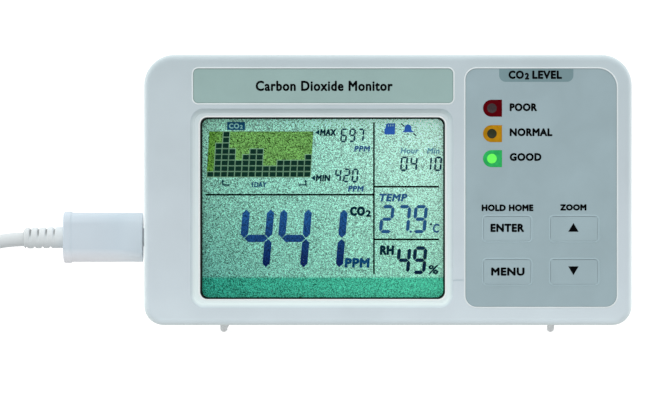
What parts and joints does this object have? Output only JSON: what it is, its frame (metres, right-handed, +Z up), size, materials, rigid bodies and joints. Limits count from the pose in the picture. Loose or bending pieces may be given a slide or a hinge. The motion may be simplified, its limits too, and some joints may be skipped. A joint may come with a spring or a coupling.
{
  "type": "desktop carbon dioxide monitor",
  "caption": "Desktop carbon dioxide monitor: slim plastic case with a graphic LCD, key panel with level lamps, swing-out rod feet and a USB lead.",
  "frame": {"origin": "on the table under the middle of the monitor, lead left out", "axes": "+Z up, front face towards -Y, +X to the right as seen from the front"},
  "size_m": [0.2436, 0.0614, 0.0692],
  "materials": {
    "case_plastic": "fine satin moulded ABS",
    "title_inlay": "satin printed film",
    "panel_inlay": "satin printed film",
    "key_plastic": "satin moulded",
    "clear_lens": "clear acrylic",
    "black_foam": "matt",
    "lcd_glass": "reflective display glass",
    "inner_plastic": "natural",
    "clear_guide": "clear",
    "zebra_rubber": "striped",
    "red_window": "dark red tint",
    "amber_window": "amber tint",
    "green_window": "green tint",
    "lamp_resin": "diffused",
    "black_plastic": "moulded",
    "board_laminate": "solder resist",
    "plated_steel": "nickel plated",
    "chip_resin": "moulded epoxy",
    "can_aluminium": "bright",
    "gold_pins": "gold plated",
    "white_membrane": "porous",
    "screw_steel": "zinc plated",
    "mesh_steel": "woven mesh",
    "foot_rod": "coated steel rod",
    "cable_plastic": "soft white PVC",
    "tie_strap": "coated wire tie"
  },
  "bodies": {
    "case": {"lcd_panel": "lcd_glass", "lcd_frame": "inner_plastic", "light_guide": "clear_guide", "lcd_connector": "zebra_rubber", "display_gasket": "black_foam", "indicator_lamp_poor": "lamp_resin", "indicator_lamp_normal": "lamp_resin", "indicator_lamp_good": "lamp_resin", "indicator_shield": "black_plastic", "main_board": "board_laminate", "key_switches": "black_plastic", "usb_socket": "plated_steel", "card_holder": "plated_steel", "clock_cell": "plated_steel", "clock_cell_holder": "black_plastic", "processor": "chip_resin", "memory_chip": "chip_resin", "clock_crystal": "plated_steel", "capacitors": "can_aluminium", "buzzer": "black_plastic", "sensor_board": "board_laminate", "sensor_pins": "gold_pins", "sensor_chamber": "gold_pins", "sensor_membrane": "white_membrane", "sensor_lamp_and_detector": "plated_steel", "climate_sensor": "board_laminate", "board_screws": "screw_steel", "vent_mesh": "mesh_steel", "foot_bushes": "inner_plastic", "title_plate": "title_inlay", "keypad_panel": "panel_inlay", "indicator_window_poor": "red_window", "indicator_window_normal": "amber_window", "indicator_window_good": "green_window", "case_screws": "screw_steel", "front_case": "case_plastic", "rear_cover": "case_plastic", "display_lens": "clear_lens"},
    "key_enter_body": {"key_enter": "key_plastic", "switch_plunger_enter": "inner_plastic"},
    "key_menu_body": {"key_menu": "key_plastic", "switch_plunger_menu": "inner_plastic"},
    "key_up_body": {"key_up": "key_plastic", "switch_plunger_up": "inner_plastic"},
    "key_down_body": {"key_down": "key_plastic", "switch_plunger_down": "inner_plastic"},
    "foot_left_body": {"foot_left": "foot_rod"},
    "foot_right_body": {"foot_right": "foot_rod"},
    "card_body": {"memory_card": "black_plastic"},
    "lead_body": {"usb_plug_shell": "plated_steel", "usb_plug_body": "cable_plastic", "usb_plug_relief": "cable_plastic", "cord_run": "cable_plastic", "cord_coil": "cable_plastic", "cord_tie": "tie_strap", "cord_tail": "cable_plastic", "usb_a_relief": "cable_plastic", "usb_a_body": "cable_plastic", "usb_a_shell": "plated_steel", "usb_a_insulator": "cable_plastic"}
  },
  "joints": [
    {"name": "press_enter", "type": "slide", "parent": "case", "child": "key_enter_body", "axis": [0, 1, 0], "range_m": [0, 0.0004], "stiffness_N_per_m": 2000, "springref_m": -0.0002},
    {"name": "press_menu", "type": "slide", "parent": "case", "child": "key_menu_body", "axis": [0, 1, 0], "range_m": [0, 0.0004], "stiffness_N_per_m": 2000, "springref_m": -0.0002},
    {"name": "press_up", "type": "slide", "parent": "case", "child": "key_up_body", "axis": [0, 1, 0], "range_m": [0, 0.0004], "stiffness_N_per_m": 2000, "springref_m": -0.0002},
    {"name": "press_down", "type": "slide", "parent": "case", "child": "key_down_body", "axis": [0, 1, 0], "range_m": [0, 0.0004], "stiffness_N_per_m": 2000, "springref_m": -0.0002},
    {"name": "swing_foot_left", "type": "hinge", "parent": "case", "child": "foot_left_body", "pos_m": [-0.0405, -0.0165, 0.00195], "axis": [0, 0, -1], "range_deg": [0, 90]},
    {"name": "swing_foot_right", "type": "hinge", "parent": "case", "child": "foot_right_body", "pos_m": [0.0405, -0.0165, 0.00195], "axis": [0, 0, 1], "range_deg": [0, 90]},
    {"name": "slide_card", "type": "slide", "parent": "case", "child": "card_body", "axis": [1, 0, 0], "range_m": [0, 0.02]},
    {"name": "unplug_lead", "type": "slide", "parent": "case", "child": "lead_body", "axis": [-1, 0, 0], "range_m": [0, 0.007]}
  ]
}
